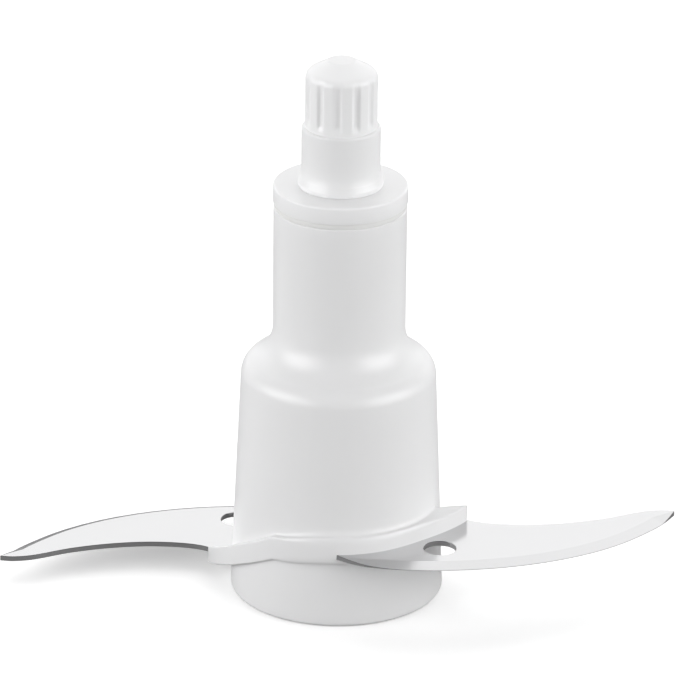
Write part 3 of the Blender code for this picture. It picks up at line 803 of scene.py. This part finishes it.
class KNIFE_OT_blades(bpy.types.Operator):
    """Build both blades with their ground bevels"""

    bl_idname = "knife.blades"
    bl_label = "Blades"

    def execute(self, context):
        scene = context.scene
        finish = scene.knife_finish
        material = steel("Blade steel", finish.steel, finish.steel_roughness, 0.06)
        for name, node, low, high, side in (
            ("blade_upper", "upper_blade", UPPER_LOW, UPPER_HIGH, 1),
            ("blade_lower", "lower_blade", LOWER_LOW, LOWER_HIGH, -1),
        ):
            shape = blade_shape(scene.knife_blade, low, high, side)
            make_piece(name, shape, material, "knife", [node], crease=8)
        return {"FINISHED"}


class KNIFE_OT_collar(bpy.types.Operator):
    """Build the collar that closes the barrel, and the seal under it"""

    bl_idname = "knife.collar"
    bl_label = "Collar and Seal"

    def execute(self, context):
        scene = context.scene
        hub, top, finish = scene.knife_hub, scene.knife_top, scene.knife_finish
        bore = hub.barrel_radius - hub.barrel_wall - GAP
        neck_hole = NECK_FOOT_RADIUS - 1.2 * MM
        rim_low = SEAL_HIGH + GAP
        edge = 0.15 * MM
        line = [(bore - 1.6 * MM, COLLAR_LOW), (bore, COLLAR_LOW), (bore, rim_low)]
        line += arc((COLLAR_RADIUS - edge, rim_low + edge), edge, -90, 0, 3)
        line += arc(
            (COLLAR_RADIUS - top.collar_edge, COLLAR_HIGH - top.collar_edge), top.collar_edge,
            0, 90, 6,
        )
        line += [(neck_hole, COLLAR_HIGH), (neck_hole, rim_low), (bore - 1.6 * MM, rim_low)]
        # The collar takes the paler copy of the white plastic: painted top light
        material = painted_light_plastic(finish)
        make_piece(
            "collar", turned_shape(line, RIM_STEPS), material, "knife", ["collar_cap"]
        )
        rubber = plastic("Seal rubber", finish.rubber, 0.6, 0.15 * MM, 0.12)
        ring = rounded(
            [(bore + GAP, BARREL_TOP), (SEAL_RADIUS, BARREL_TOP), (SEAL_RADIUS, rim_low),
             (bore + GAP, rim_low)], 0.12 * MM,
        )
        make_piece("seal", turned_shape(ring, RIM_STEPS), rubber, "knife", ["collar_seal"])
        return {"FINISHED"}


class KNIFE_OT_neck(bpy.types.Operator):
    """Build the neck with the ring at its foot"""

    bl_idname = "knife.neck"
    bl_label = "Neck"

    def execute(self, context):
        scene = context.scene
        shape = turned_shape(neck_profile(scene.knife_top), PIECE_STEPS)
        material = white_plastic(scene.knife_finish)
        make_piece("neck", shape, material, "knife", ["neck_sleeve"])
        return {"FINISHED"}


class KNIFE_OT_tip(bpy.types.Operator):
    """Build the splined tip that the lid's drive turns"""

    bl_idname = "knife.tip"
    bl_label = "Drive Tip"

    def execute(self, context):
        scene = context.scene
        shape = spline_tip_shape(scene.knife_top)
        # The tip takes the paler copy of the white plastic: painted top light
        material = painted_light_plastic(scene.knife_finish)
        make_piece("tip", shape, material, "knife", ["drive_tip"])
        return {"FINISHED"}


class KNIFE_OT_inside(bpy.types.Operator):
    """Build the base cover and give the pieces inside the hub their finishes"""

    bl_idname = "knife.inside"
    bl_label = "Inside Pieces"

    def execute(self, context):
        scene = context.scene
        finish = scene.knife_finish
        inner = plastic("Inner plastic", finish.inner, 0.45, 0.4 * MM, 0.1)
        bearing = plastic("Bearing plastic", finish.bearing, 0.4, 0.2 * MM, 0.05)
        turned_metal = steel("Turned steel", finish.turned_steel, 0.28, 0.12, 0.06)
        cover_radius = span("base_cover", 0)[1]
        cover = rounded(
            [(CORE_RADIUS, COVER_LOW), (cover_radius, COVER_LOW), (cover_radius, COVER_HIGH),
             (CORE_RADIUS, COVER_HIGH)], 0.35 * MM,
        )
        make_piece(
            "cover", turned_shape(cover, PIECE_STEPS), inner, "knife", ["base_cover"]
        )
        for node in ("core_tube", "blade_spacer", "clamp_ring"):
            finish_node(node, inner)
        for node in ("lower_bush", "upper_bush", "thrust_pad"):
            finish_node(node, bearing)
        for node in ("pin_sleeve", "bush_clip", "tip_pin"):
            finish_node(node, turned_metal)
        return {"FINISHED"}


class KNIFE_OT_stage(bpy.types.Operator):
    """Set up the floor, the soft studio light and the camera"""

    bl_idname = "knife.stage"
    bl_label = "Stage"

    def execute(self, context):
        stage = context.scene.knife_stage
        make_floor(stage)
        light_room(stage)
        place_camera(stage)
        context.scene.view_settings.view_transform = "Standard"
        return {"FINISHED"}


def make_floor(stage):
    shape = bmesh.new()
    bmesh.ops.create_circle(shape, cap_ends=True, segments=96, radius=stage.floor_radius)
    mesh = bpy.data.meshes.new("floor")
    shape.to_mesh(mesh)
    shape.free()
    material = plastic("Floor", stage.floor_colour, 0.75, 4 * MM, 0.02)
    nodes = Nodes(material.node_tree)
    shader = material.node_tree.nodes["Principled BSDF"]
    seen = nodes.add("ShaderNodeLightPath").outputs["Is Camera Ray"]
    bounced = (stage.floor_bounce,) * 3 + (1.0,)
    tone = nodes.add("ShaderNodeMix", {"Factor": seen, 6: bounced}, data_type="RGBA")
    nodes.link(shader.inputs["Base Color"].links[0].from_socket, tone.inputs[7])
    nodes.link(tone.outputs[2], shader.inputs["Base Color"])
    shader.inputs["Emission Color"].default_value = (1.0, 1.0, 1.0, 1.0)
    above = stage.floor_glow - stage.floor_return
    glow = nodes.math("MULTIPLY_ADD", seen, above, stage.floor_return)
    nodes.link(glow, shader.inputs["Emission Strength"])
    mesh.materials.append(material)
    floor = bpy.data.objects.new("floor", mesh)
    floor.location.z = -0.05 * MM
    bpy.context.scene.collection.objects.link(floor)


SOFTBOX = Vector((0.91, -0.41, 0.08)).normalized()  # towards the one on the right
OVERHEAD = Vector((0.0, 0.82, 0.57)).normalized()  # towards the one above and a little behind


def light_room(stage):
    """A pale room with a softbox on each side and a broad light overhead, a little behind."""
    world = bpy.data.worlds.new("Studio")
    bpy.context.scene.world = world
    world.use_nodes = True
    nodes = Nodes(world.node_tree)
    world.node_tree.nodes.clear()
    place = nodes.add("ShaderNodeTexCoord").outputs["Generated"]
    x, y, z = nodes.add("ShaderNodeSeparateXYZ", {0: place}).outputs

    def soft(value, low, high, strength):
        ranged = nodes.add(
            "ShaderNodeMapRange",
            {"Value": value, "From Min": low, "From Max": high, "To Min": 0.0, "To Max": strength},
            interpolation_type="SMOOTHSTEP",
        )
        return ranged.outputs[0]

    folded = nodes.add("ShaderNodeCombineXYZ", {0: nodes.math("ABSOLUTE", x), 1: y, 2: z})

    def towards(direction):
        return nodes.add(
            "ShaderNodeVectorMath", {0: folded.outputs[0], 1: direction}, operation="DOT_PRODUCT"
        ).outputs["Value"]

    sides = soft(towards(SOFTBOX), *SIDE_SPREAD, stage.side_light)
    overhead = soft(towards(OVERHEAD), *TOP_SPREAD, stage.top_light)
    level = nodes.math("ADD", stage.room_light, nodes.math("ADD", sides, overhead))
    room = nodes.add("ShaderNodeBackground", {"Strength": level, "Color": (1.0, 1.0, 1.0, 1.0)})
    seen = nodes.add("ShaderNodeBackground", {"Strength": 1.0, "Color": (1.0, 1.0, 1.0, 1.0)})
    path = nodes.add("ShaderNodeLightPath")
    mix = nodes.add(
        "ShaderNodeMixShader",
        {0: path.outputs["Is Camera Ray"], 1: room.outputs[0], 2: seen.outputs[0]},
    )
    output = nodes.add("ShaderNodeOutputWorld")
    nodes.link(mix.outputs[0], output.inputs["Surface"])


def place_camera(stage):
    data = bpy.data.cameras.new("camera")
    data.lens, data.sensor_width = stage.camera_lens, 36.0
    data.clip_start, data.clip_end = 0.05, 50.0
    camera = bpy.data.objects.new("camera", data)
    out, up = math.cos(stage.camera_height), math.sin(stage.camera_height)
    camera.location = (0.0, -stage.camera_distance * out, stage.camera_distance * up)
    aim = Euler((math.pi / 2 - stage.camera_pitch, 0.0, -stage.camera_yaw)).to_quaternion()
    camera.rotation_mode = "QUATERNION"
    camera.rotation_quaternion = aim @ Quaternion((0.0, 0.0, 1.0), stage.camera_roll)
    bpy.context.scene.collection.objects.link(camera)
    bpy.context.scene.camera = camera


OPERATORS = (
    KNIFE_OT_stage, KNIFE_OT_hub, KNIFE_OT_blades, KNIFE_OT_collar, KNIFE_OT_neck, KNIFE_OT_tip,
    KNIFE_OT_inside,
)


class KNIFE_PT_panel(bpy.types.Panel):
    """Buttons that build each piece"""

    bl_idname = "KNIFE_PT_panel"
    bl_label = "Knife Insert"
    bl_space_type = "VIEW_3D"
    bl_region_type = "UI"
    bl_category = "Knife"

    def draw(self, context):
        column = self.layout.column(align=True)
        for operator in OPERATORS:
            column.operator(operator.bl_idname)


CLASSES = (*GROUPS.values(), *OPERATORS, KNIFE_PT_panel)


def register():
    for item in CLASSES:
        bpy.utils.register_class(item)
    for name, group in GROUPS.items():
        setattr(bpy.types.Scene, name, PointerProperty(type=group))


def unregister():
    for name in GROUPS:
        delattr(bpy.types.Scene, name)
    for item in reversed(CLASSES):
        bpy.utils.unregister_class(item)


def main():
    register()
    for operator in OPERATORS:
        getattr(bpy.ops.knife, operator.bl_idname.split(".")[1])()


if __name__ == "__main__":
    main()
